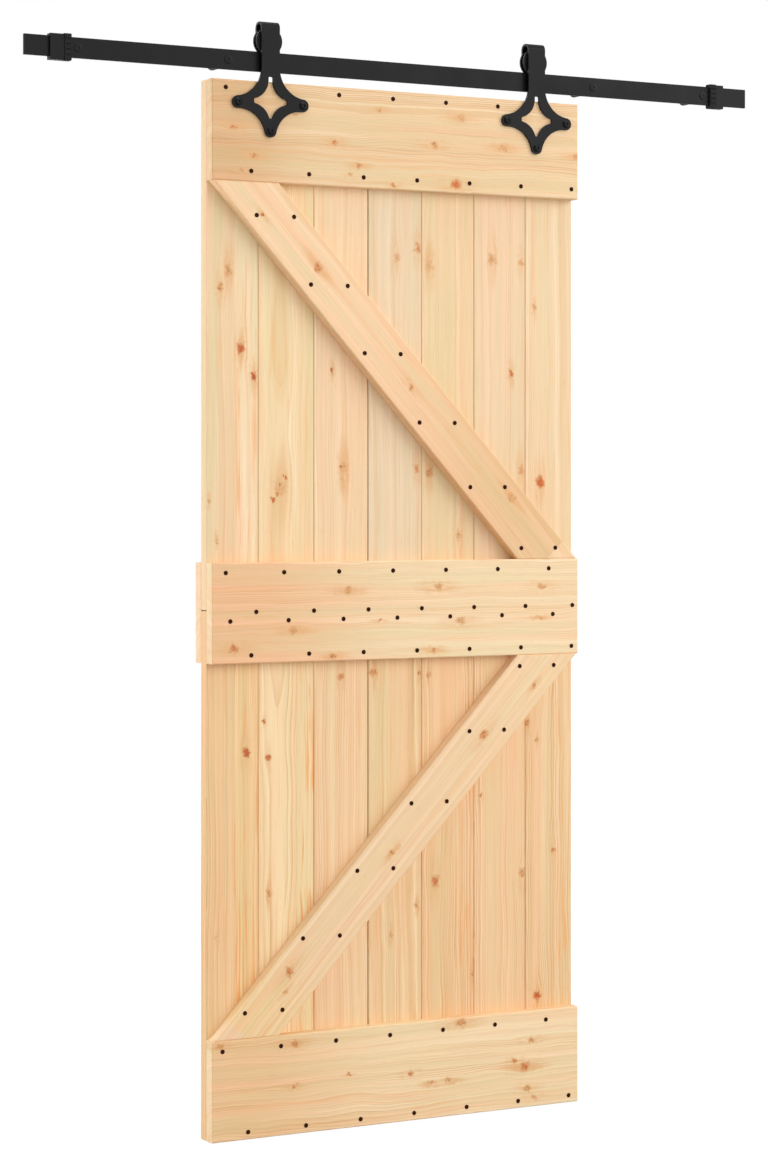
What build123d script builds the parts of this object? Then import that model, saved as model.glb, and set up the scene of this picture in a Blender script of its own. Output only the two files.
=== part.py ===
from build123d import *
import os
from math import hypot, sqrt

# Sliding plank door hung by two rollers from a flat-bar track, in millimetres.
# +X runs along the track to the right as seen from the room, +Y towards the wall, +Z up.
# The origin is on the wall face of the left inner spacer, on the axis of its fixing hole.

# Door leaf: a panel of upright boards with rails and braces planted on its face
door_width = 850.0
door_height = 2100.0
board_count = 7
outer_board_width = 114.0
board_thickness = 26.0
rail_thickness = 26.0
back_rail_thickness = 26.0
rail_height = 200.0
upper_board_length = 1050.0
rail_below_joint = 106.0
brace_end_width = 144.0
brace_edge_inset = 4.0
wood_arris = 2.0

# Tongue and groove between the boards
tongue_length = 5.5
tongue_thickness = 8.0
groove_clearance = 0.3
seam_gap = 0.6
open_seam = 3
open_seam_gap = 2.0
seam_arris = 1.5
board_end_gap = 2.0

# Track: a flat steel bar held off the wall on round spacers
track_length = 1676.0
track_height = 40.0
track_thickness = 6.0
track_arris = 0.6
outer_hole_inset = 111.0
left_inner_hole_inset = 431.0
right_inner_hole_inset = 392.0
fixing_hole_diameter = 11.0
spacer_diameter = 25.0
door_rest_inset = 392.0
door_top_gap = 20.0
wall_clearance = 6.0

# End stops: steel sleeves on the bar, each with a ribbed rubber bumper on its inner side
bumper_face_inset = 95.0
bumper_length = 14.0
left_stop_length = 30.0
right_stop_length = 20.0
stop_wall = 5.0
stop_top_lip = 4.0
stop_bottom_lip = 6.0
stop_arris = 0.8
stop_fit = 0.3
bumper_proud = 1.5
rib_count = 5
rib_groove_width = 4.0
rib_groove_depth = 2.0

# Rollers: grooved steel wheels that ride on the bar's top edge
roller_diameter = 57.0
roller_width = 16.0
groove_radius = 21.5
groove_side_clearance = 1.0
hub_radius = 9.0
rolling_gap = 0.3
hub_side_gap = 0.3
axle_diameter = 10.0
axle_clearance = 0.05
axle_head_width = 16.0
axle_head_height = 6.0

# Hangers: steel strap bent over the roller, its front leg ending in a four-point star plate
left_hanger_inset = 127.0
right_hanger_inset = 104.0
strap_width = 40.0
strap_thickness = 5.0
strap_gap = 20.0
strap_bend_radius = 8.0
roller_top_clearance = 5.0
side_bolt_spread = 143.4
side_bolt_drop = 43.6
bottom_bolt_drop = 98.0
lobe_radius = 12.5
shoulder_radius = 60.0
waist_radius = 56.0
cut_out_width = 74.0
cut_out_rise = 10.0
cut_out_drop = 73.5
cut_out_neck = 10.0
cut_out_foot = 4.0
cut_out_shoulder_radius = 40.0
cut_out_shoulder_rise = 4.0
cut_out_waist_radius = 41.0
cut_out_waist_drop = 84.5
cut_out_tip_radius = 3.0

# Hanger bolts: socket button heads in front, hexagon nuts on the panel behind
bolt_diameter = 8.0
bolt_head_diameter = 16.0
bolt_head_height = 4.5
bolt_head_slope = 3.2
socket_width = 5.0
socket_depth = 2.5
bolt_hole_clearance = 0.3
nut_width = 13.0
nut_height = 6.5
thread_end = 2.0
thread_clearance = 0.05

os.makedirs("parts", exist_ok=True)


def save(piece, node):
    """Names a finished piece and writes it to its own file."""
    piece.part.label = node
    export_step(piece.part, f"parts/{node}.step")


# Planes shared by the pieces, from the wall at Y = 0 towards the room
panel_back = -(wall_clearance + back_rail_thickness)
panel_front = panel_back - board_thickness
face = panel_front - rail_thickness
track_middle = face + strap_gap / 2
track_back = track_middle + track_thickness / 2

track_left = -left_inner_hole_inset
track_right = track_left + track_length
track_top = track_height / 2
door_left = track_left + door_rest_inset
door_right = door_left + door_width
door_middle = (door_left + door_right) / 2
door_top = -track_height / 2 - door_top_gap
door_bottom = door_top - door_height

boards_joint = door_top - upper_board_length
middle_rail_bottom = boards_joint - rail_below_joint
middle_rail_top = middle_rail_bottom + rail_height
top_rail_bottom = door_top - rail_height
bottom_rail_top = door_bottom + rail_height

roller_radius = roller_diameter / 2
axle_height = track_top + rolling_gap + groove_radius
strap_top = axle_height + roller_radius + roller_top_clearance
side_bolt_height = door_top - side_bolt_drop
bottom_bolt_height = door_top - bottom_bolt_drop

hangers = {
    "left": door_left + left_hanger_inset,
    "right": door_right - right_hanger_inset,
}
star_bolts = [
    (-side_bolt_spread / 2, side_bolt_height),
    (side_bolt_spread / 2, side_bolt_height),
    (0, bottom_bolt_height),
]
fixings = [
    (track_left + outer_hole_inset, 0),
    (track_left + left_inner_hole_inset, 0),
    (track_right - right_inner_hole_inset, 0),
    (track_right - outer_hole_inset, 0),
]

# Track bar, drilled for its fixings
with BuildPart() as track_rail:
    with Locations(((track_left + track_right) / 2, track_middle, 0)):
        Box(track_length, track_thickness, track_height)
    chamfer(track_rail.edges().filter_by(Axis.X), track_arris)
    with BuildSketch(Plane.XZ.offset(-track_back)):
        with Locations(*fixings):
            Circle(fixing_hole_diameter / 2)
    extrude(amount=track_thickness, mode=Mode.SUBTRACT)
save(track_rail, "track_rail")

# Round spacers between the bar and the wall, bored for the fixings
with BuildPart() as spacers:
    with BuildSketch(Plane.XZ):
        with Locations(*fixings):
            Circle(spacer_diameter / 2)
            Circle(fixing_hole_diameter / 2, mode=Mode.SUBTRACT)
    extrude(amount=-track_back)
save(spacers, "track_spacers")

# End stops and their bumpers, slipped over the bar
slot_thickness = track_thickness + 2 * stop_fit
slot_height = track_height + 2 * stop_fit
stop_depth = slot_thickness + 2 * stop_wall
stop_height = slot_height + stop_top_lip + stop_bottom_lip
stop_middle = (stop_top_lip - stop_bottom_lip) / 2
bumper_depth = stop_depth + 2 * bumper_proud
bumper_height = stop_height + bumper_proud
bumper_middle = stop_middle + bumper_proud / 2
rib_pitch = bumper_height / rib_count

for side, end, inward, stop_length in (
    ("left", track_left, 1, left_stop_length),
    ("right", track_right, -1, right_stop_length),
):
    bumper_face = end + inward * bumper_face_inset
    seat = bumper_face - inward * bumper_length
    stop_centre = seat - inward * stop_length / 2
    bumper_centre = (bumper_face + seat) / 2

    with BuildPart() as end_stop:
        with Locations((stop_centre, track_middle, stop_middle)):
            Box(stop_length, stop_depth, stop_height)
        chamfer(end_stop.edges(), stop_arris)
        with Locations((stop_centre, track_middle, 0)):
            Box(stop_length, slot_thickness, slot_height, mode=Mode.SUBTRACT)
    save(end_stop, f"{side}_end_stop")

    with BuildPart() as bumper:
        with Locations((bumper_centre, track_middle, bumper_middle)):
            Box(bumper_length, bumper_depth, bumper_height)
        fillet(bumper.edges().filter_by(Axis.X), 2 * bumper_proud)
        for i in range(1, rib_count):
            groove_height = bumper_middle + (i - rib_count / 2) * rib_pitch
            for flank in (-bumper_depth / 2, bumper_depth / 2):
                with Locations((bumper_centre, track_middle + flank, groove_height)):
                    Box(bumper_length, 2 * rib_groove_depth, rib_groove_width, mode=Mode.SUBTRACT)
        with Locations((bumper_centre, track_middle, 0)):
            Box(bumper_length, slot_thickness, slot_height, mode=Mode.SUBTRACT)
    save(bumper, f"{side}_stop_bumper")

# Panel boards in two lengths, tongued and grooved, meeting behind the middle rail
middle_board_width = (door_width - 2 * outer_board_width) / (board_count - 2)
board_widths = [outer_board_width] + [middle_board_width] * (board_count - 2) + [outer_board_width]
board_edges = [door_left + sum(board_widths[:i]) for i in range(board_count + 1)]
seam_gaps = [0] + [seam_gap] * (board_count - 1) + [0]
seam_gaps[open_seam] = open_seam_gap
panel_middle = (panel_front + panel_back) / 2
bolt_places = [(x + dx, z) for x in hangers.values() for dx, z in star_bolts]
bolt_hole_radius = bolt_diameter / 2 + bolt_hole_clearance
rows = {
    "upper": (boards_joint, upper_board_length),
    "lower": (door_bottom, door_height - upper_board_length - board_end_gap),
}
for row, (foot, length) in rows.items():
    for i in range(board_count):
        first = i == 0
        last = i == board_count - 1
        left = board_edges[i] + seam_gaps[i] / 2
        right = board_edges[i + 1] - seam_gaps[i + 1] / 2
        with BuildPart() as board:
            with BuildSketch(Plane.XY.offset(foot)) as section:
                with Locations(((left + right) / 2, panel_middle)):
                    Rectangle(right - left, board_thickness)
                chamfer(section.vertices(), seam_arris)
                if not last:
                    with Locations((right, panel_middle)):
                        Rectangle(tongue_length, tongue_thickness, align=(Align.MIN, Align.CENTER))
                if not first:
                    with Locations((left, panel_middle)):
                        Rectangle(
                            tongue_length + groove_clearance,
                            tongue_thickness + 2 * groove_clearance,
                            align=(Align.MIN, Align.CENTER),
                            mode=Mode.SUBTRACT,
                        )
            extrude(amount=length)
            reach_left = left - bolt_hole_radius
            reach_right = right + tongue_length + bolt_hole_radius
            drilled = [place for place in bolt_places if reach_left < place[0] < reach_right]
            if drilled and row == "upper":
                with BuildSketch(Plane.XZ.offset(-panel_back)):
                    with Locations(*drilled):
                        Circle(bolt_hole_radius)
                extrude(amount=board_thickness, mode=Mode.SUBTRACT)
        save(board, f"{row}_board_{i + 1}")

# Rails across the panel: three on the face and one behind the middle
rails = {
    "top_rail": (top_rail_bottom, panel_front, rail_thickness),
    "middle_rail": (middle_rail_bottom, panel_front, rail_thickness),
    "bottom_rail": (door_bottom, panel_front, rail_thickness),
    "back_middle_rail": (middle_rail_bottom, panel_back + back_rail_thickness, back_rail_thickness),
}
for node, (foot, back, thickness) in rails.items():
    with BuildPart() as rail:
        with Locations((door_middle, back - thickness / 2, foot + rail_height / 2)):
            Box(door_width, thickness, rail_height)
        show_face = Axis.Y if node == "back_middle_rail" else -Axis.Y
        chamfer(rail.faces().sort_by(show_face)[-1].edges(), wood_arris)
        if node == "top_rail":
            with BuildSketch(Plane.XZ.offset(-back)):
                with Locations(*bolt_places):
                    Circle(bolt_hole_radius)
            extrude(amount=thickness, mode=Mode.SUBTRACT)
    save(rail, node)

# Slanting braces, cut level at both ends to butt between the rails
brace_left = door_left + brace_edge_inset
brace_right = door_right - brace_edge_inset
braces = {
    "upper_brace": (top_rail_bottom, middle_rail_top),
    "lower_brace": (bottom_rail_top, middle_rail_bottom),
}
for node, (left_end, right_end) in braces.items():
    with BuildPart() as brace:
        with BuildSketch(Plane.XZ.offset(-panel_front)):
            with BuildLine():
                Polyline(
                    (brace_left, left_end),
                    (brace_left + brace_end_width, left_end),
                    (brace_right, right_end),
                    (brace_right - brace_end_width, right_end),
                    close=True,
                )
            make_face()
        extrude(amount=rail_thickness)
        chamfer(brace.faces().sort_by(-Axis.Y)[-1].edges(), wood_arris)
    save(brace, node)


def step_towards(start, end, distance):
    """The point that lies a distance from start on the way to end."""
    share = distance / hypot(end[0] - start[0], end[1] - start[1])
    return (start[0] + share * (end[0] - start[0]), start[1] + share * (end[1] - start[1]))


# Star plate: concave arcs that touch the strap's edge and the round lobes at the bolts
half_strap = strap_width / 2
side_lobe = (side_bolt_spread / 2, side_bolt_height)
foot_lobe = (0, bottom_bolt_height)
shoulder_x = half_strap + shoulder_radius
shoulder_reach = shoulder_radius + lobe_radius
shoulder = (shoulder_x, side_bolt_height + sqrt(shoulder_reach**2 - (shoulder_x - side_lobe[0]) ** 2))
lobe_span = hypot(side_lobe[0], side_lobe[1] - foot_lobe[1])
waist_reach = sqrt((waist_radius + lobe_radius) ** 2 - (lobe_span / 2) ** 2)
waist = (
    side_lobe[0] / 2 + waist_reach * (side_lobe[1] - foot_lobe[1]) / lobe_span,
    (side_lobe[1] + foot_lobe[1]) / 2 - waist_reach * side_lobe[0] / lobe_span,
)
half_outline = [
    (half_strap, axle_height),
    (half_strap, shoulder[1]),
    step_towards(side_lobe, shoulder, lobe_radius),
    side_lobe,
    step_towards(side_lobe, waist, lobe_radius),
    step_towards(foot_lobe, waist, lobe_radius),
]
other_half = [(-px, pz) for px, pz in reversed(half_outline)]
cut_out_shoulder = (cut_out_neck / 2 + cut_out_shoulder_radius, door_top + cut_out_shoulder_rise)
cut_out_waist = (cut_out_foot / 2 + cut_out_waist_radius, door_top - cut_out_waist_drop)
cut_out_height = cut_out_rise + cut_out_drop
loop_depth = strap_gap + 2 * strap_thickness
loop_height = strap_top + strap_thickness - axle_height

for side, x in hangers.items():
    front_plane = Plane(origin=(x, face, 0), x_dir=(1, 0, 0), z_dir=(0, -1, 0))
    side_plane = Plane(origin=(x - half_strap, track_middle, axle_height), x_dir=(0, 1, 0), z_dir=(1, 0, 0))

    with BuildPart() as hanger:
        with BuildSketch(side_plane) as loop:
            Rectangle(loop_depth, loop_height, align=(Align.CENTER, Align.MIN))
            fillet(loop.vertices().group_by(Axis.Y)[-1], strap_bend_radius + strap_thickness)
        extrude(amount=strap_width)
        with BuildSketch(side_plane) as loop_inside:
            Rectangle(strap_gap, loop_height - strap_thickness, align=(Align.CENTER, Align.MIN))
            fillet(loop_inside.vertices().group_by(Axis.Y)[-1], strap_bend_radius)
        extrude(amount=strap_width, mode=Mode.SUBTRACT)
        with BuildSketch(front_plane.offset(-strap_gap - strap_thickness)):
            with Locations((0, axle_height)):
                Circle(half_strap)
        extrude(amount=strap_thickness)
        with BuildSketch(front_plane):
            with BuildLine():
                Polyline(*half_outline, foot_lobe, *other_half, close=True)
            make_face()
            for mirrored in (-1, 1):
                with Locations((mirrored * shoulder[0], shoulder[1])):
                    Circle(shoulder_radius, mode=Mode.SUBTRACT)
                with Locations((mirrored * waist[0], waist[1])):
                    Circle(waist_radius, mode=Mode.SUBTRACT)
            with Locations(*star_bolts):
                Circle(lobe_radius)
        extrude(amount=strap_thickness)
        with BuildSketch(front_plane) as cut_out:
            with Locations((0, door_top + cut_out_rise)):
                Rectangle(cut_out_width, cut_out_height, align=(Align.CENTER, Align.MAX))
            for mirrored in (-1, 1):
                with Locations((mirrored * cut_out_shoulder[0], cut_out_shoulder[1])):
                    Circle(cut_out_shoulder_radius, mode=Mode.SUBTRACT)
                with Locations((mirrored * cut_out_waist[0], cut_out_waist[1])):
                    Circle(cut_out_waist_radius, mode=Mode.SUBTRACT)
            fillet(cut_out.vertices(), cut_out_tip_radius)
        extrude(amount=strap_thickness, mode=Mode.SUBTRACT)
        with BuildSketch(front_plane):
            with Locations(*star_bolts):
                Circle(bolt_hole_radius)
        extrude(amount=strap_thickness, mode=Mode.SUBTRACT)
        with BuildSketch(front_plane.offset(strap_thickness)):
            with Locations((0, axle_height)):
                Circle(axle_diameter / 2 + axle_clearance)
        extrude(amount=-loop_depth, mode=Mode.SUBTRACT)
    save(hanger, f"{side}_hanger")

    # Axle: flush with the strap in front, a hexagon head behind the back leg
    with BuildPart() as axle:
        with BuildSketch(front_plane.offset(strap_thickness)):
            with Locations((0, axle_height)):
                Circle(axle_diameter / 2)
        extrude(amount=-loop_depth)
        with BuildSketch(front_plane.offset(strap_thickness - loop_depth)):
            with Locations((0, axle_height)):
                RegularPolygon(axle_head_width / 2, 6, major_radius=False)
        extrude(amount=-axle_head_height)
    save(axle, f"{side}_axle")

    # Roller: turned wheel with a groove for the bar and a hub that spaces it in the strap
    roller_plane = Plane(origin=(x, track_middle, axle_height), x_dir=(0, 1, 0), z_dir=(1, 0, 0))
    half_width = roller_width / 2
    groove_half = track_thickness / 2 + groove_side_clearance
    hub_half = strap_gap / 2 - hub_side_gap
    bore_radius = axle_diameter / 2 + axle_clearance
    half_profile = [
        (hub_half, bore_radius),
        (hub_half, hub_radius),
        (half_width, hub_radius),
        (half_width, roller_radius),
        (groove_half, roller_radius),
        (groove_half, groove_radius),
    ]
    with BuildPart() as roller:
        with BuildSketch(roller_plane):
            with BuildLine():
                Polyline(*half_profile, *[(-py, pr) for py, pr in reversed(half_profile)], close=True)
            make_face()
        revolve(axis=Axis((x, track_middle, axle_height), (0, 1, 0)))
    save(roller, f"{side}_roller")

# Button-head bolts through star plate, top rail and panel
plate_front = Plane(origin=(0, face - strap_thickness, 0), x_dir=(1, 0, 0), z_dir=(0, -1, 0))
shank_length = strap_thickness + rail_thickness + board_thickness + nut_height + thread_end
with BuildPart() as bolts:
    with BuildSketch(plate_front):
        with Locations(*bolt_places):
            Circle(bolt_head_diameter / 2)
    extrude(amount=bolt_head_height)
    chamfer(bolts.faces().sort_by(Axis.Y)[: len(bolt_places)].edges(), bolt_head_slope)
    with BuildSketch(plate_front):
        with Locations(*bolt_places):
            Circle(bolt_diameter / 2)
    extrude(amount=-shank_length)
    with BuildSketch(plate_front.offset(bolt_head_height)):
        with Locations(*bolt_places):
            RegularPolygon(socket_width / 2, 6, major_radius=False)
    extrude(amount=-socket_depth, mode=Mode.SUBTRACT)
save(bolts, "hanger_bolts")

# Hexagon nuts tightened against the panel's back
panel_rear = Plane(origin=(0, panel_back, 0), x_dir=(1, 0, 0), z_dir=(0, -1, 0))
with BuildPart() as nuts:
    with BuildSketch(panel_rear):
        with Locations(*bolt_places):
            RegularPolygon(nut_width / 2, 6, major_radius=False)
            Circle(bolt_diameter / 2 + thread_clearance, mode=Mode.SUBTRACT)
    extrude(amount=-nut_height)
save(nuts, "hanger_nuts")
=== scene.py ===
from math import atan2, pi, radians

import bmesh
import bpy
from mathutils import Matrix, Vector


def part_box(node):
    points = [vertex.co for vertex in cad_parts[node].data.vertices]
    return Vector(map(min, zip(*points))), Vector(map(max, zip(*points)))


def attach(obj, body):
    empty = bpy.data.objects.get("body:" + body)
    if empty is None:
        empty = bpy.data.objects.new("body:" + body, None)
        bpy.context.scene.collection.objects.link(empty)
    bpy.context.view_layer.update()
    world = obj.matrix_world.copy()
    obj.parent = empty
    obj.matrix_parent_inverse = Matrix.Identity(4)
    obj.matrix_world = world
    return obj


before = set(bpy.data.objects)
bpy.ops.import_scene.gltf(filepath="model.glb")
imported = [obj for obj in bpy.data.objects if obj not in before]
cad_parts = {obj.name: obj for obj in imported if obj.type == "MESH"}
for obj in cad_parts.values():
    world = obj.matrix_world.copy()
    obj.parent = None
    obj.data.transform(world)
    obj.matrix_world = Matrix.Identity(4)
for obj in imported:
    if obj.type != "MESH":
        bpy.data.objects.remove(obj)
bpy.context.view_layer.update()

# Panel: upright boards of knotty pine, seven over seven, tongued and grooved together.
# Each is edge-glued from narrow strips of small logs, planed and left bare, so growth rings,
# knots and changes of tone from strip to strip all show.
mm = 0.001


def linear(hex_colour):
    """An sRGB hex colour as the linear RGBA that a shader takes."""
    channels = [int(hex_colour[i : i + 2], 16) / 255 for i in (1, 3, 5)]
    return [*(c / 12.92 if c <= 0.04045 else ((c + 0.055) / 1.055) ** 2.4 for c in channels), 1.0]


def add_node(tree, kind, inputs, **settings):
    """Adds a shader node with its settings. An input takes a value, a socket or a node's own output.

    Inputs go by name, or by number where a node repeats a name. A colour Mix takes its share at 0 and
    its colours at 6 and 7. A Map Range takes its value at 0, reads from 1 to 2 and gives from 3 to 4.
    """
    node = tree.nodes.new(f"ShaderNode{kind}")
    for name, value in settings.items():
        setattr(node, name, value)
    for name, value in inputs.items():
        if isinstance(value, bpy.types.Node):
            value = next(socket for socket in value.outputs if socket.enabled)
        if isinstance(value, bpy.types.NodeSocket):
            tree.links.new(value, node.inputs[name])
        else:
            node.inputs[name].default_value = value
    return node


def new_material(name, roughness, specular=0.5):
    """A material with its node tree and its surface shader."""
    material = bpy.data.materials.new(name)
    material.use_nodes = True
    shader = material.node_tree.nodes["Principled BSDF"]
    shader.inputs["Roughness"].default_value = roughness
    shader.inputs["Specular IOR Level"].default_value = specular
    return material, material.node_tree, shader


def finish_node(node, material):
    """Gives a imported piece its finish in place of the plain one."""
    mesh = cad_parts[node].data
    mesh.materials.clear()
    mesh.materials.append(material)


# A knot is a branch cut across: the grain parts around it like water round a post, resin stains the
# wood beside it tan, drawn out along the grain, and its own heart is a ragged red brown. Edges and
# cores of its stain and heart are in knot radii.
parting_draw = (1, 0, 0.3)
stain_draw = (1, 0, 0.26)
heart_draw = (1, 0, 0.75)
parting_softness = 0.5
stain_edge, stain_core = 2.4, 0.4
heart_edge, heart_core = 1.45, 0.3
knot_marks = {"Push": "Float", "Heart": "Float", "Stain": "Float"}
knot_sockets = {
    "Grain": "Vector",
    "Ragged": "Vector",
    "Centre": "Vector",
    "Radius": "Float",
    "Depth": "Float",
}
pine_knot = bpy.data.node_groups.new("pine_knot", "ShaderNodeTree")
for socket_name, socket_kind in {**knot_sockets, **knot_marks}.items():
    pine_knot.interface.new_socket(socket_name, in_out="INPUT", socket_type=f"NodeSocket{socket_kind}")
for socket_name, socket_kind in knot_marks.items():
    pine_knot.interface.new_socket(socket_name, in_out="OUTPUT", socket_type=f"NodeSocket{socket_kind}")
given = pine_knot.nodes.new("NodeGroupInput").outputs

away = add_node(pine_knot, "VectorMath", {0: given["Grain"], 1: given["Centre"]}, operation="SUBTRACT")
drawn_out = add_node(pine_knot, "VectorMath", {0: away, 1: parting_draw}, operation="MULTIPLY")
distance = add_node(pine_knot, "VectorMath", {0: drawn_out}, operation="LENGTH")
reach = add_node(pine_knot, "Math", {0: distance, 1: given["Radius"]}, operation="DIVIDE")
falling = add_node(pine_knot, "Math", {0: reach, 1: reach, 2: parting_softness}, operation="MULTIPLY_ADD")
sideways = add_node(pine_knot, "SeparateXYZ", {0: away})
parted = add_node(pine_knot, "Math", {0: sideways, 1: falling}, operation="DIVIDE")
push = add_node(pine_knot, "Math", {0: given["Push"], 1: parted}, operation="ADD")

torn = add_node(pine_knot, "VectorMath", {0: given["Ragged"], 1: given["Centre"]}, operation="SUBTRACT")
plume = add_node(pine_knot, "VectorMath", {0: torn, 1: stain_draw}, operation="MULTIPLY")
plume_distance = add_node(pine_knot, "VectorMath", {0: plume}, operation="LENGTH")
plume_reach = add_node(pine_knot, "Math", {0: plume_distance, 1: given["Radius"]}, operation="DIVIDE")
stain = add_node(
    pine_knot, "MapRange", {0: plume_reach, 1: stain_edge, 2: stain_core}, interpolation_type="SMOOTHSTEP"
)
stain_most = add_node(pine_knot, "Math", {0: given["Stain"], 1: stain}, operation="MAXIMUM")

rounder = add_node(pine_knot, "VectorMath", {0: torn, 1: heart_draw}, operation="MULTIPLY")
heart_distance = add_node(pine_knot, "VectorMath", {0: rounder}, operation="LENGTH")
heart_reach = add_node(pine_knot, "Math", {0: heart_distance, 1: given["Radius"]}, operation="DIVIDE")
heart = add_node(
    pine_knot, "MapRange", {0: heart_reach, 1: heart_edge, 2: heart_core}, interpolation_type="SMOOTHSTEP"
)
heart_colour = add_node(pine_knot, "Math", {0: heart, 1: given["Depth"]}, operation="MULTIPLY")
heart_most = add_node(pine_knot, "Math", {0: given["Heart"], 1: heart_colour}, operation="MAXIMUM")

marked = pine_knot.nodes.new("NodeGroupOutput")
for socket_name, node in (("Push", push), ("Heart", heart_most), ("Stain", stain_most)):
    pine_knot.links.new(node.outputs[0], marked.inputs[socket_name])

# Planed pine gives the eye pale spring wood ruled by darker summer-wood lines, with rosy and greenish
# patches, orange resin streaks and red-brown knots under a soft sheen. Fibres and resin ducts are
# drawn many times coarser than real ones, so that they show.
ring_width = 4.6 * mm
band_width = 16 * mm
season_width = 38 * mm
fibre_width = 1.5 * mm
duct_width = 2 * mm
streak_width = 6 * mm
speck_width = 4.5 * mm
tear_width = 12 * mm
tear_reach = 22 * mm
heart_behind = 35 * mm
heart_sway = 26 * mm
heart_drift = 40 * mm
glue_half_width = 0.7 * mm
end_grain_depth = 0.5 * mm
planing_relief = 0.2 * mm
# Waves and patches to the metre, across, into and along the grain
wander_pace = (6, 6, 1.6)
ripple_pace = (14, 14, 7)
patch_pace = (32, 32, 1.6)
# How far fibres, ducts and streaks are drawn out along the grain
fibre_draw = (1, 1, 0.014)
duct_draw = (1, 1, 0.07)
streak_draw = 0.02
# Steps between the patterns of two strips of one board
strip_step = 7.3
ring_step = 3.17
# Shares of a piece's resin before the glue line and added past it
resin_before = 0.2
resin_past = 0.8
# How far the rings crowd in a poor season, how sharply summer wood ends, and how much glue darkens
season_swing = 5.0
ring_sharpness = 3.0
glue_darkening = -0.08
resin_orange = "#EFA763"
stain_tan = "#DFA870"
knot_tan = "#D69C62"
knot_orange = "#CE6420"
knot_red = "#983A12"
speck_brown = "#914A1C"


def planed_pine(
    name,
    origin,
    turn,
    seed,
    tone,
    log_heart,
    knots,
    glue_line=-1000,
    resin=0.3,
    first_strip="#FFFFFF",
    boldness=0.6,
    ripple=6,
    wash="#FFFFFF",
    warm_end="#FFFFFF",
    warm_length=260,
):
    """Planed pine for one piece, as a solid pattern that also runs over its edges, ends and back.

    origin and turn set the piece's own axes: x across the grain, y into the wood and z along the grain.
    tone is the wood's five shades, and log_heart is where the middle of the log lay across the piece.
    knots are places across and along the grain with a radius, in millimetres, and a depth of colour.
    glue_line is where two strips meet, and resin is how strongly streaks colour the strip past it.
    boldness is how dark the summer-wood lines get, and ripple how far the grain waves.
    wash tints the whole piece, first_strip the strip before the glue line, and warm_end the start of
    the piece, fading over warm_length.
    """
    pale, band, late, tint, sapwood = (
        [shade * part for shade, part in zip(linear(colour), linear(wash))] for colour in tone
    )
    material, tree, shader = new_material(name, roughness=0.6)
    place = add_node(tree, "TexCoord", {})
    grain = add_node(
        tree,
        "Mapping",
        {"Vector": place.outputs["Object"], "Location": origin, "Rotation": (0, turn, 0)},
        vector_type="TEXTURE",
    )
    across, into, along = add_node(tree, "SeparateXYZ", {0: grain}).outputs
    second_strip = add_node(tree, "Math", {0: across, 1: glue_line * mm}, operation="GREATER_THAN")
    strip = add_node(tree, "Math", {0: second_strip, 1: strip_step, 2: seed}, operation="MULTIPLY_ADD")

    # Knots, with outlines torn ragged by a few millimetres
    tear = add_node(
        tree, "TexNoise", {"Vector": grain, "Scale": 1 / tear_width, "Detail": 3.0, "Roughness": 0.6}
    )
    evened = add_node(tree, "VectorMath", {0: tear.outputs["Color"], 1: (0.5,) * 3}, operation="SUBTRACT")
    ragged = add_node(
        tree, "VectorMath", {0: evened, 1: (tear_reach,) * 3, 2: grain}, operation="MULTIPLY_ADD"
    )
    knot = None
    for knot_across, knot_along, radius, depth in knots:
        knot_place = {
            "Grain": grain,
            "Ragged": ragged,
            "Centre": (knot_across * mm, 0, knot_along * mm),
            "Radius": radius * mm,
            "Depth": depth,
        }
        marks_so_far = {mark: knot.outputs[mark] for mark in knot_marks} if knot else {}
        knot = add_node(tree, "Group", {**knot_place, **marks_so_far}, node_tree=pine_knot)

    # Growth rings: distance from the log's heart, which lies behind the piece and wanders along it
    slow = add_node(tree, "VectorMath", {0: grain, 1: wander_pace}, operation="MULTIPLY")
    wander = add_node(
        tree, "TexNoise", {"Vector": slow, "W": strip, "Scale": 1.0, "Detail": 2.0}, noise_dimensions="4D"
    )
    drift = add_node(tree, "SeparateXYZ", {0: wander.outputs["Color"]})
    swayed = add_node(tree, "Math", {0: drift.outputs[0], 1: heart_sway, 2: across}, operation="MULTIPLY_ADD")
    quick = add_node(tree, "VectorMath", {0: grain, 1: ripple_pace}, operation="MULTIPLY")
    waves = add_node(tree, "TexNoise", {"Vector": quick, "W": strip, "Scale": 1.0}, noise_dimensions="4D")
    rippled = add_node(tree, "Math", {0: waves, 1: ripple * mm, 2: swayed}, operation="MULTIPLY_ADD")
    bent = add_node(tree, "Math", {0: rippled, 1: knot.outputs["Push"]}, operation="SUBTRACT")
    deep = add_node(tree, "Math", {0: drift.outputs[1], 1: heart_drift, 2: into}, operation="MULTIPLY_ADD")
    section = add_node(tree, "CombineXYZ", {0: bent, 1: deep})
    heart_place = (log_heart * mm, -heart_behind, 0)
    ring_radius = add_node(tree, "VectorMath", {0: section, 1: heart_place}, operation="DISTANCE")
    ring_seed = add_node(tree, "Math", {0: strip, 1: ring_step, 2: ring_radius}, operation="MULTIPLY_ADD")
    bands = add_node(
        tree,
        "TexNoise",
        {"W": ring_seed, "Scale": 1 / band_width, "Detail": 3.0, "Roughness": 0.6},
        noise_dimensions="1D",
    )
    seasons = add_node(
        tree, "TexNoise", {"W": ring_seed, "Scale": 1 / season_width, "Detail": 1.0}, noise_dimensions="1D"
    )
    uneven = add_node(tree, "Math", {0: seasons, 1: season_swing, 2: bands}, operation="MULTIPLY_ADD")
    ring_count = add_node(
        tree, "Math", {0: ring_radius, 1: 1 / ring_width, 2: uneven}, operation="MULTIPLY_ADD"
    )
    ring_part = add_node(tree, "Math", {0: ring_count}, operation="FRACT")
    late_line = add_node(tree, "Math", {0: ring_part, 1: ring_sharpness}, operation="POWER")

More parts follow.
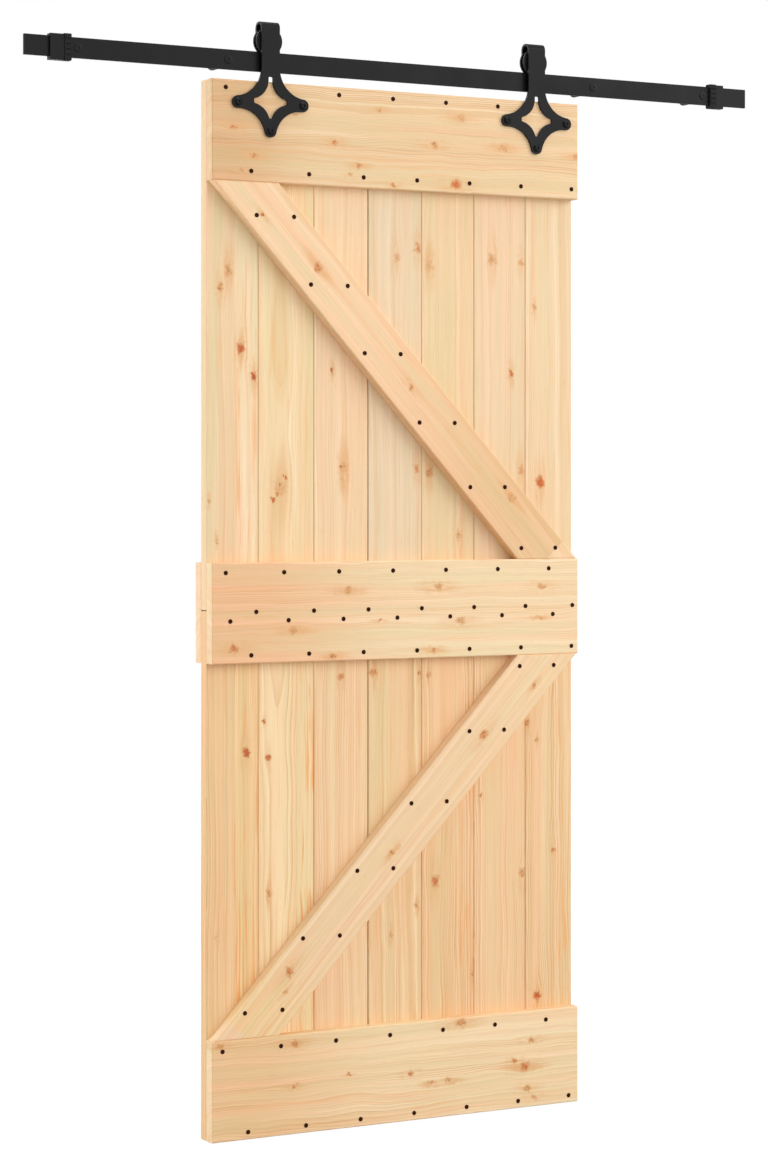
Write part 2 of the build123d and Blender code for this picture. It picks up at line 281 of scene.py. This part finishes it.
    # Broad patches, in which the lines are bolder or the wood rosier or greener. Noise lies for the most
    # part between 0.3 and 0.7, so each range read below picks a share of it.
    broad = add_node(tree, "VectorMath", {0: grain, 1: patch_pace}, operation="MULTIPLY")
    patches = add_node(
        tree, "TexNoise", {"Vector": broad, "W": strip, "Scale": 1.0, "Detail": 2.0}, noise_dimensions="4D"
    )
    bold_patch, rosy_patch, green_patch = add_node(tree, "SeparateXYZ", {0: patches.outputs["Color"]}).outputs
    line_strength = add_node(tree, "MapRange", {0: bold_patch, 1: 0.35, 2: 0.7, 3: 0.06, 4: boldness})
    line_share = add_node(tree, "Math", {0: late_line, 1: line_strength}, operation="MULTIPLY")
    rosy_share = add_node(tree, "MapRange", {0: rosy_patch, 1: 0.45, 2: 0.65, 4: 0.6})
    green_share = add_node(tree, "MapRange", {0: green_patch, 1: 0.45, 2: 0.65, 4: 0.75})

    # Fibres, resin ducts and resin streaks, drawn out along the grain
    drawn = add_node(tree, "VectorMath", {0: grain, 1: fibre_draw}, operation="MULTIPLY")
    fibres = add_node(tree, "TexNoise", {"Vector": drawn, "Scale": 1 / fibre_width, "Detail": 3.0})
    fibre_gain = add_node(tree, "MapRange", {0: fibres, 1: 0.25, 2: 0.75, 3: 0.93, 4: 1.05})
    short = add_node(tree, "VectorMath", {0: grain, 1: duct_draw}, operation="MULTIPLY")
    ducts = add_node(tree, "TexNoise", {"Vector": short, "Scale": 1 / duct_width, "Detail": 1.0})
    duct_share = add_node(tree, "MapRange", {0: ducts, 1: 0.66, 2: 0.76, 4: 0.35})
    short_along = add_node(tree, "Math", {0: along, 1: streak_draw}, operation="MULTIPLY")
    streak_place = add_node(tree, "CombineXYZ", {0: bent, 1: deep, 2: short_along})
    streaks = add_node(tree, "TexNoise", {"Vector": streak_place, "Scale": 1 / streak_width, "Detail": 2.0})
    resin_most = add_node(
        tree,
        "Math",
        {0: second_strip, 1: resin * resin_past, 2: resin * resin_before},
        operation="MULTIPLY_ADD",
    )
    resin_share = add_node(tree, "MapRange", {0: streaks, 1: 0.56, 2: 0.74, 4: resin_most})

    # Colour of the clear wood, from pale spring wood to resin, with a faint dark line at the glue
    band_share = add_node(tree, "MapRange", {0: bands, 1: 0.3, 2: 0.7})
    banded = add_node(tree, "Mix", {0: band_share, 6: pale, 7: band}, data_type="RGBA")
    ringed = add_node(tree, "Mix", {0: line_share, 6: banded, 7: late}, data_type="RGBA")
    tinted = add_node(tree, "Mix", {0: rosy_share, 6: ringed, 7: tint}, data_type="RGBA")
    greened = add_node(tree, "Mix", {0: green_share, 6: tinted, 7: sapwood}, data_type="RGBA")
    ducted = add_node(tree, "Mix", {0: duct_share, 6: greened, 7: late}, data_type="RGBA")
    resined = add_node(tree, "Mix", {0: resin_share, 6: ducted, 7: linear(resin_orange)}, data_type="RGBA")
    glue = add_node(tree, "Math", {0: across, 1: glue_line * mm, 2: glue_half_width}, operation="COMPARE")
    glue_gain = add_node(tree, "Math", {0: glue, 1: glue_darkening, 2: fibre_gain}, operation="MULTIPLY_ADD")
    fibred = add_node(tree, "VectorMath", {0: resined, "Scale": glue_gain}, operation="SCALE")

    # Tints of the first strip and of the warm end, which leaves the end grain pale
    multiplied = {"data_type": "RGBA", "blend_type": "MULTIPLY"}
    first_share = add_node(tree, "Math", {0: 1.0, 1: second_strip}, operation="SUBTRACT")
    stripped = add_node(tree, "Mix", {0: first_share, 6: fibred, 7: linear(first_strip)}, **multiplied)
    warm_share = add_node(
        tree,
        "MapRange",
        {0: along, 1: warm_length * mm, 2: 0.15 * warm_length * mm},
        interpolation_type="SMOOTHSTEP",
    )
    off_end = add_node(tree, "Math", {0: along, 1: end_grain_depth}, operation="GREATER_THAN")
    warm_face = add_node(tree, "Math", {0: warm_share, 1: off_end}, operation="MULTIPLY")
    warmed = add_node(tree, "Mix", {0: warm_face, 6: stripped, 7: linear(warm_end)}, **multiplied)

    # Knots over it all: a streaky stain, then a heart that goes from tan to orange to red, with specks
    streaked = add_node(tree, "MapRange", {0: streaks, 1: 0.35, 2: 0.65, 3: 0.15, 4: 0.8})
    stain_share = add_node(tree, "Math", {0: knot.outputs["Stain"], 1: streaked}, operation="MULTIPLY")
    stained = add_node(tree, "Mix", {0: stain_share, 6: warmed, 7: linear(stain_tan)}, data_type="RGBA")
    heart = knot.outputs["Heart"]
    tan_share = add_node(tree, "MapRange", {0: heart, 1: 0.03, 2: 0.4, 4: 0.9})
    tanned = add_node(tree, "Mix", {0: tan_share, 6: stained, 7: linear(knot_tan)}, data_type="RGBA")
    orange_share = add_node(tree, "MapRange", {0: heart, 1: 0.4, 2: 0.85})
    flushed = add_node(tree, "Mix", {0: orange_share, 6: tanned, 7: linear(knot_orange)}, data_type="RGBA")
    red_share = add_node(tree, "MapRange", {0: heart, 1: 0.85, 2: 1.25})
    reddened = add_node(tree, "Mix", {0: red_share, 6: flushed, 7: linear(knot_red)}, data_type="RGBA")
    specks = add_node(tree, "TexNoise", {"Vector": grain, "Scale": 1 / speck_width, "Detail": 2.0})
    speck_share = add_node(tree, "MapRange", {0: specks, 1: 0.52, 2: 0.68, 4: 0.8})
    speck_depth = add_node(tree, "Math", {0: heart, 1: 1.8}, operation="MULTIPLY", use_clamp=True)
    speckled = add_node(tree, "Math", {0: speck_share, 1: speck_depth}, operation="MULTIPLY")
    knotted = add_node(tree, "Mix", {0: speckled, 6: reddened, 7: linear(speck_brown)}, data_type="RGBA")
    tree.links.new(knotted.outputs[2], shader.inputs["Base Color"])

    # Planing leaves the hard summer wood a hair proud of the soft spring wood
    relief = add_node(tree, "Math", {0: fibres, 1: 0.5, 2: late_line}, operation="MULTIPLY_ADD")
    bump = add_node(tree, "Bump", {"Strength": 0.2, "Distance": planing_relief, "Height": relief})
    tree.links.new(bump.outputs[0], shader.inputs["Normal"])
    return material


# Tones of pine: pale wood, darker bands, summer-wood lines, rosy patches and greenish sapwood
cream = ("#FBE1BC", "#EFCC9E", "#DAAA74", "#F9D0A8", "#EAD6A9")
straw = ("#FAE0B6", "#EECB99", "#D8A86E", "#F6CEA0", "#E8D29F")
rosy = ("#F9DDBB", "#EEC79E", "#D8A475", "#F6C7A2", "#EBD1A6")
honey = ("#F7DAAE", "#E9C18D", "#D29C62", "#F3C596", "#E5CA96")

board_pine = {
    "upper_board_1": dict(
        tone=cream,
        log_heart=-60,
        knots=[
            (6, 215, 3, 0.4), (23, 136, 3, 0.4), (30, 641, 7, 0.5),
            (47, 674, 8, 0.45), (76, 520, 8, 1.0), (105, 464, 6, 1.15),
        ],
        glue_line=61,
        resin=0.8,
        first_strip="#F7F5F0",
    ),
    "upper_board_2": dict(
        tone=cream,
        log_heart=60,
        knots=[
            (34, 219, 4, 0.9), (41, 228, 3, 0.7), (49, 242, 14, 0.3),
            (47, 250, 3, 0.7), (62, 262, 4, 0.9), (54, 266, 3, 0.6),
        ],
        wash="#FAFAF0",
    ),
    "upper_board_3": dict(
        tone=rosy,
        log_heart=190,
        knots=[(42, 480, 4, 1.1), (63, 286, 3, 1.2), (68, 284, 9, 0.3), (66, 258, 5, 0.25)],
        wash="#FCFCF5",
    ),
    "upper_board_4": dict(
        tone=cream,
        log_heart=-70,
        knots=[(65, 714, 8, 0.3), (114, 735, 7, 0.6), (112, 282, 6, 0.6)],
        wash="#F2F5F9",
    ),
    "upper_board_5": dict(
        tone=straw,
        log_heart=175,
        knots=[(18, 276, 8, 0.5), (18, 700, 9, 0.3), (89, 144, 9, 0.3)],
        glue_line=80,
        wash="#F7F5F5",
    ),
    "upper_board_6": dict(
        tone=cream,
        log_heart=-50,
        knots=[(42, 718, 9, 0.45), (90, 482, 5, 0.9), (115, 713, 6, 0.4), (115, 279, 8, 0.45)],
        glue_line=88,
        wash="#F7F2F1",
    ),
    "upper_board_7": dict(
        tone=cream,
        log_heart=180,
        knots=[(22, 621, 4, 0.4), (37, 254, 9, 0.9)],
        wash="#F6F5F2",
    ),
    "lower_board_1": dict(
        tone=straw,
        log_heart=-60,
        knots=[(86, 765, 8, 1.0), (20, 400, 3, 0.2)],
        glue_line=61,
        resin=1.6,
        first_strip="#FAF9FC",
        boldness=1.6,
        wash="#FFF4E6",
    ),
    "lower_board_2": dict(
        tone=cream,
        log_heart=60,
        knots=[(22, 753, 5, 0.8), (13, 825, 3, 0.8), (22, 481, 5, 0.6)],
        glue_line=86,
        resin=1.8,
        boldness=1.4,
        ripple=14,
        wash="#FFFDF2",
    ),
    "lower_board_3": dict(
        tone=rosy,
        log_heart=185,
        knots=[(62, 910, 6, 0.6), (90, 400, 3, 0.2)],
        boldness=1.3,
        ripple=14,
        wash="#FEFBF0",
    ),
    "lower_board_4": dict(
        tone=honey,
        log_heart=-70,
        knots=[(11, 916, 7, 0.55), (51, 379, 4, 0.4), (118, 911, 4, 0.6), (112, 434, 4, 0.5)],
        resin=0.5,
        boldness=1.5,
        ripple=16,
        wash="#FEFDFD",
    ),
    "lower_board_5": dict(
        tone=honey,
        log_heart=180,
        knots=[(16, 908, 4, 0.6), (32, 481, 9, 0.75), (123, 286, 5, 0.4)],
        glue_line=80,
        resin=1.2,
        boldness=1.5,
        ripple=16,
        wash="#FFF8F6",
    ),
    "lower_board_6": dict(
        tone=rosy,
        log_heart=-55,
        knots=[(17, 655, 4, 0.5), (117, 486, 8, 0.45)],
        boldness=1.5,
        ripple=16,
        wash="#FDF6E8",
    ),
    "lower_board_7": dict(
        tone=honey,
        log_heart=190,
        knots=[(5, 800, 5, 0.6), (29, 764, 4, 0.5), (69, 529, 4, 0.7), (29, 226, 8, 1.0)],
        glue_line=70,
        resin=1.2,
        boldness=1.6,
        ripple=18,
        wash="#FDFAF9",
    ),
}
first_board_seed = 1.7
for number, (node, look) in enumerate(board_pine.items()):
    low_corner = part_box(node)[0]
    finish_node(node, planed_pine(f"planed_pine_{node}", low_corner, 0, first_board_seed + number, **look))

# Rails: three broad boards across the face and one across the back of the middle.
# The same planed pine, each glued from two strips with the grain level, and screwed through into
# the upright boards.
rail_pine = {
    "top_rail": dict(
        tone=honey,
        log_heart=250,
        knots=[
            (93, 48, 6, 0.6), (148, 92, 6, 0.6), (177, 66, 4, 0.6), (61, 181, 5, 0.4), (112, 271, 6, 0.7),
            (156, 326, 5, 0.6), (177, 308, 4, 0.4), (41, 374, 4, 0.5), (104, 502, 7, 0.5), (46, 564, 8, 0.3),
            (183, 554, 9, 0.85), (192, 409, 4, 0.7), (102, 669, 8, 0.4), (111, 846, 6, 0.5),
        ],
        glue_line=118,
        boldness=1.2,
        ripple=26,
        wash="#F7F6F9",
        warm_end="#F1E3D6",
    ),
    "middle_rail": dict(
        tone=cream,
        log_heart=-60,
        knots=[
            (59, 302, 7, 0.45), (137, 179, 7, 0.5), (171, 47, 8, 0.7), (191, 269, 6, 0.75),
            (121, 374, 4, 0.6), (54, 512, 8, 0.4), (58, 759, 7, 0.4), (125, 564, 8, 0.4),
            (185, 500, 6, 0.5), (123, 757, 4, 0.4),
        ],
        glue_line=97,
        boldness=1.0,
        ripple=20,
        wash="#FDFCFA",
        warm_end="#FBE5DA",
        warm_length=480,
    ),
    "bottom_rail": dict(
        tone=cream,
        log_heart=260,
        knots=[
            (20, 182, 7, 0.6), (105, 181, 5, 0.7), (92, 305, 3, 0.6), (10, 18, 5, 0.5), (10, 566, 9, 0.5),
            (104, 448, 5, 0.7), (126, 534, 6, 0.4), (129, 495, 5, 0.5), (115, 720, 9, 0.7),
            (102, 696, 5, 0.6), (161, 725, 6, 0.5), (181, 742, 5, 0.4), (60, 735, 6, 0.5),
        ],
        glue_line=100,
        boldness=1.1,
        ripple=22,
        wash="#FFFFFC",
        warm_end="#F7E9DD",
        warm_length=430,
    ),
    "back_middle_rail": dict(
        tone=rosy,
        log_heart=240,
        knots=[(60, 200, 7, 0.5), (150, 610, 8, 0.6)],
        glue_line=92,
    ),
}
first_rail_seed = 21.3
for number, (node, look) in enumerate(rail_pine.items()):
    low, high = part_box(node)
    top_left = (low.x, low.y, high.z)
    finish_node(node, planed_pine(f"planed_pine_{node}", top_left, pi / 2, first_rail_seed + number, **look))

# Braces: two slanting boards that stiffen the leaf against sagging, cut level to butt the rails.
# Planed pine with its grain along their length, screwed in pairs to every board they cross.
brace_end_width = 144 * mm
brace_lean = {"upper_brace": -1, "lower_brace": 1}
brace_pine = {
    "upper_brace": dict(
        tone=cream,
        log_heart=120,
        knots=[(-18, 957, 4, 0.8), (5, 800, 8, 0.6), (2, 481, 5, 0.6), (23, 153, 8, 0.4)],
        glue_line=-14,
        wash="#FCF3EE",
        warm_end="#F4EDE1",
        warm_length=700,
    ),
    "lower_brace": dict(
        tone=rosy,
        log_heart=-130,
        knots=[(21, 951, 4, 0.6), (-1, 797, 8, 0.6), (0, 480, 5, 0.5), (-18, 156, 8, 0.7), (4, 123, 4, 0.4)],
        glue_line=14,
        wash="#FCFBF3",
        warm_end="#FFFFF2",
    ),
}
first_brace_seed = 31.9
for number, (node, look) in enumerate(brace_pine.items()):
    low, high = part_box(node)
    run = brace_lean[node] * (high.x - low.x - brace_end_width)
    foot = ((low.x + high.x - run) / 2, low.y, low.z)
    turn = atan2(run, high.z - low.z)
    finish_node(node, planed_pine(f"planed_pine_{node}", foot, turn, first_brace_seed + number, **look))

# Wood screws: black countersunk steel screws with a star recess, driven flush through rails and braces.
# Rows of seven cross the rails, and a pair sits in each board that a brace crosses. Places are in
# millimetres along the leaf and up from its foot.
wood_screw = dict(
    radius=4.7 * mm, stand=0.5 * mm, slope=1.4 * mm, socket_radius=2.0 * mm, socket_depth=0.6 * mm, lobe=0.7
)
screws_in_row = 7
screw_pitch = 123.8
second_screw_shift = 5
last_screw = 836
rail_rows = {
    "top_rail_screws": ((30, 2084), (86, 1921)),
    "middle_rail_screws": ((30, 1124), (97, 1046), (40, 1028), (86, 960)),
    "bottom_rail_screws": ((23, 179), (79, 15)),
}
pair_spread = 83
brace_pairs = {
    "upper_brace_screws": ((98, 1834), (219, 1700), (341, 1565), (468, 1426), (588, 1294), (711, 1167)),
    "lower_brace_screws": ((707, 921), (586, 790), (449, 648), (324, 518), (201, 390), (72, 251)),
}
door_left, door_face, door_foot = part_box("bottom_rail")[0]


def mottle(tree, shader, dark, light, patch, detail):
    """Lets a finish drift between two shades over patches of a real size, and returns the drift."""
    place = add_node(tree, "TexCoord", {})
    drift = add_node(
        tree, "TexNoise", {"Vector": place.outputs["Object"], "Scale": 1 / patch, "Detail": detail}
    )
    colour = add_node(tree, "Mix", {0: drift, 6: linear(dark), 7: linear(light)}, data_type="RGBA")
    tree.links.new(colour.outputs[2], shader.inputs["Base Color"])
    return drift


def new_piece(name, bm, material, body):
    """Turns a finished bmesh into a named piece with its finish, riding on a body."""
    bmesh.ops.recalc_face_normals(bm, faces=bm.faces)
    mesh = bpy.data.meshes.new(name)
    bm.to_mesh(mesh)
    bm.free()
    mesh.materials.append(material)
    piece = bpy.data.objects.new(name, mesh)
    bpy.context.scene.collection.objects.link(piece)
    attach(piece, body)


def round_head(bm, place, radius, stand, slope, socket_radius, socket_depth, lobe=1.0):
    """A round screw head that faces the room, with a sloped rim and a driver socket of six points."""
    sides = 12
    crown = 0.6 * stand
    socket_taper = 0.12 * socket_radius
    facing = Matrix.Translation(place) @ Matrix.Rotation(pi / 2, 4, "X")
    disc = bmesh.ops.create_circle(bm, cap_ends=True, segments=sides, radius=radius, matrix=facing)
    face = disc["verts"][0].link_faces[0]
    top = bmesh.ops.extrude_discrete_faces(bm, faces=[face])["faces"][0]
    bmesh.ops.translate(bm, vec=(0, -stand, 0), verts=top.verts)
    bmesh.ops.inset_individual(bm, faces=[top], thickness=slope, depth=crown)
    bmesh.ops.inset_individual(bm, faces=[top], thickness=radius - slope - socket_radius)
    for corner in list(top.verts)[::2]:
        corner.co = Vector(place).lerp(corner.co, lobe)
        corner.co.y = top.verts[1].co.y
    bmesh.ops.inset_individual(bm, faces=[top], thickness=socket_taper, depth=-socket_depth)


# Phosphated steel gives the eye a dull brown black, mottled by the coat's crystals. They are drawn
# much coarser than real ones, so that they show.
screw_steel, tree, shader = new_material("black_phosphated_steel", roughness=0.7, specular=0.05)
mottle(tree, shader, dark="#28130A", light="#402010", patch=0.8 * mm, detail=2.0)


def drive_wood_screws(name, places):
    """One piece of wood screws in the leaf's face."""
    bm = bmesh.new()
    for along, height in places:
        round_head(bm, (door_left + along * mm, door_face, door_foot + height * mm), **wood_screw)
    new_piece(name, bm, screw_steel, "door")


for name, rows in rail_rows.items():
    places = []
    for first, height in rows:
        places.append((first, height))
        for number in range(1, screws_in_row):
            along = first + second_screw_shift + number * screw_pitch
            places.append((min(along, last_screw), height))
    drive_wood_screws(name, places)

for name, pairs in brace_pairs.items():
    drive_wood_screws(name, [(along + step, height) for along, height in pairs for step in (0, pair_spread)])

# Hangers: flat steel bar bent over the roller, its front leg cut to a four-point star.
# Bar and roller are powder-coated: dry paint baked on the steel. Three bolts hold each star to the leaf.
# The coat gives the eye a satin black skin, clouded in its gloss and faintly pebbled like orange peel.
peel_width = 1.5 * mm
peel_depth = 0.12 * mm
powder_coat, tree, shader = new_material("black_powder_coat", roughness=0.45, specular=0.115)
cloud = mottle(tree, shader, dark="#0D0B0D", light="#121012", patch=60 * mm, detail=3.0)
coat_gloss = add_node(tree, "MapRange", {0: cloud, 1: 0.3, 2: 0.7, 3: 0.38, 4: 0.5})
tree.links.new(coat_gloss.outputs[0], shader.inputs["Roughness"])
place = add_node(tree, "TexCoord", {})
peel = add_node(
    tree, "TexNoise", {"Vector": place.outputs["Object"], "Scale": 1 / peel_width, "Detail": 2.0}
)
coat_bump = add_node(tree, "Bump", {"Strength": 0.2, "Distance": peel_depth, "Height": peel})
tree.links.new(coat_bump.outputs[0], shader.inputs["Normal"])
for node in ("left_hanger", "right_hanger", "left_roller", "right_roller"):
    finish_node(node, powder_coat)

# Hanger bolts, nuts and axles: turned and headed steel, blackened in a hot oxide bath and oiled.
# The bolts go through star, rail and boards to nuts on the back, and each axle carries a roller.
# Black oxide gives the eye a deep, slightly mottled black, a little glossier than the paint.
black_oxide, tree, shader = new_material("black_oxide_steel", roughness=0.4, specular=0.12)
mottle(tree, shader, dark="#060506", light="#0C0B0C", patch=4 * mm, detail=3.0)
for node in ("hanger_bolts", "hanger_nuts", "left_axle", "right_axle"):
    finish_node(node, black_oxide)

# Track: flat steel bar on round spacers, with a sleeve stop clamped near each end.
# All in the hangers' black powder coat, held to the wall by four low-headed screws.
fixing_screw = dict(
    radius=9 * mm, stand=0.8 * mm, slope=3.5 * mm, socket_radius=3.2 * mm, socket_depth=1 * mm
)
fixing_places = (-320, 0, 853, 1134)
for node in ("track_rail", "track_spacers", "left_end_stop", "right_end_stop"):
    finish_node(node, powder_coat)
bar_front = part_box("track_rail")[0].y
fixing_screws = bmesh.new()
for fixing in fixing_places:
    round_head(fixing_screws, (fixing * mm, bar_front, 0), **fixing_screw)
new_piece("track_fixing_screws", fixing_screws, black_oxide, "track")

# Stop bumpers: ribbed collars on the inner side of each stop, moulded in black rubber and pushed on.
# Rubber gives the eye a dull charcoal, greyed in patches by its bloom.
rubber, tree, shader = new_material("moulded_black_rubber", roughness=0.8, specular=0.2)
mottle(tree, shader, dark="#161517", light="#201F21", patch=7 * mm, detail=4.0)
for node in ("left_stop_bumper", "right_stop_bumper"):
    finish_node(node, rubber)

# Floor: a plain white studio floor, just under the leaf so that the door hangs clear of it.
# Matt paint on a flat slab. Seen directly or mirrored it glows white, all but a small share that
# keeps the door's shadow, and elsewhere it lights the door as a pale grey floor does.
floor_reach = 20
floor_gap = 10 * mm
floor_glow_share = 0.95
floor_glow = 1.04
white = (1, 1, 1, 1)


def seen_rays(tree):
    """One for rays that the camera sees, straight, mirrored or through glass, and zero for the rest."""
    rays = add_node(tree, "LightPath", {}).outputs
    seen = add_node(tree, "Math", {0: rays["Is Camera Ray"], 1: rays["Is Glossy Ray"]}, operation="MAXIMUM")
    return add_node(tree, "Math", {0: seen, 1: rays["Is Transmission Ray"]}, operation="MAXIMUM")


floor_paint, tree, shader = new_material("white_floor_paint", roughness=0.9)
shader.inputs["Base Color"].default_value = linear("#B8B8B8")
glow_share = add_node(tree, "Math", {0: seen_rays(tree), 1: floor_glow_share}, operation="MULTIPLY")
glow = add_node(tree, "Emission", {"Color": white, "Strength": floor_glow})
painted = add_node(tree, "MixShader", {0: glow_share, 1: shader, 2: glow})
tree.links.new(painted.outputs[0], tree.nodes["Material Output"].inputs["Surface"])

floor_mesh = bpy.data.meshes.new("floor")
bm = bmesh.new()
bmesh.ops.create_grid(bm, x_segments=1, y_segments=1, size=floor_reach)
bmesh.ops.translate(bm, vec=(0, 0, door_foot - floor_gap), verts=bm.verts)
bm.to_mesh(floor_mesh)
bm.free()
floor_mesh.materials.append(floor_paint)
floor = bpy.data.objects.new("floor", floor_mesh)
bpy.context.scene.collection.objects.link(floor)

# Studio light: a white surround, dim as a light, and soft square lamps aimed at the middle of the leaf.
# The key stands to the right, a front lamp softens its shadows, a low fill and an edge lamp lift the
# left sides and ends, and the last two light the top and the back. Sizes are in metres, power in watts.
surround_light = 0.22
surround_seen = 1.0
lamp_aim = Vector((0.4, 0, -1.0))
lamps = {
    "key": dict(place=(5.5, -4.6, 2.0), size=6.0, power=390),
    "front": dict(place=(0.4, -6.5, 0.9), size=4.0, power=115),
    "fill": dict(place=(-5.0, -3.0, -1.2), size=1.8, power=36),
    "edge": dict(place=(-4.6, 1.5, -0.4), size=3.0, power=160),
    "top": dict(place=(0.4, -0.6, 5.0), size=3.0, power=140),
    "back": dict(place=(0.4, 4.5, 0.8), size=3.0, power=100),
}
world = bpy.data.worlds.new("studio")
bpy.context.scene.world = world
world.use_nodes = True
tree = world.node_tree
surround = tree.nodes["Background"]
surround.inputs["Color"].default_value = white
level = add_node(tree, "MapRange", {0: seen_rays(tree), 3: surround_light, 4: surround_seen})
tree.links.new(level.outputs[0], surround.inputs["Strength"])
for name, lamp in lamps.items():
    softbox = bpy.data.lights.new(name, "AREA")
    softbox.energy = lamp["power"]
    softbox.size = lamp["size"]
    light = bpy.data.objects.new(name, softbox)
    light.location = lamp["place"]
    light.rotation_euler = (lamp_aim - light.location).to_track_quat("-Z", "Y").to_euler()
    bpy.context.scene.collection.objects.link(light)

# Camera: level, in front of the door and to its left, raised to a little over half its height.
# The lens shift keeps the uprights upright. Pixels are those of the photograph, 768 by 1166.
photo_height = 1166
focal_pixels = 2946
horizon_pixels = 490
camera_place = (-2.504, -5.349, -0.852)
view_turn = radians(28.43)
lens = bpy.data.cameras.new("camera")
lens.sensor_width = 36
lens.lens = focal_pixels / photo_height * lens.sensor_width
lens.shift_y = (horizon_pixels - photo_height / 2) / photo_height
camera = bpy.data.objects.new("camera", lens)
camera.location = camera_place
camera.rotation_euler = (pi / 2, 0, -view_turn)
bpy.context.scene.collection.objects.link(camera)
bpy.context.scene.camera = camera
bpy.context.scene.view_settings.view_transform = "Standard"
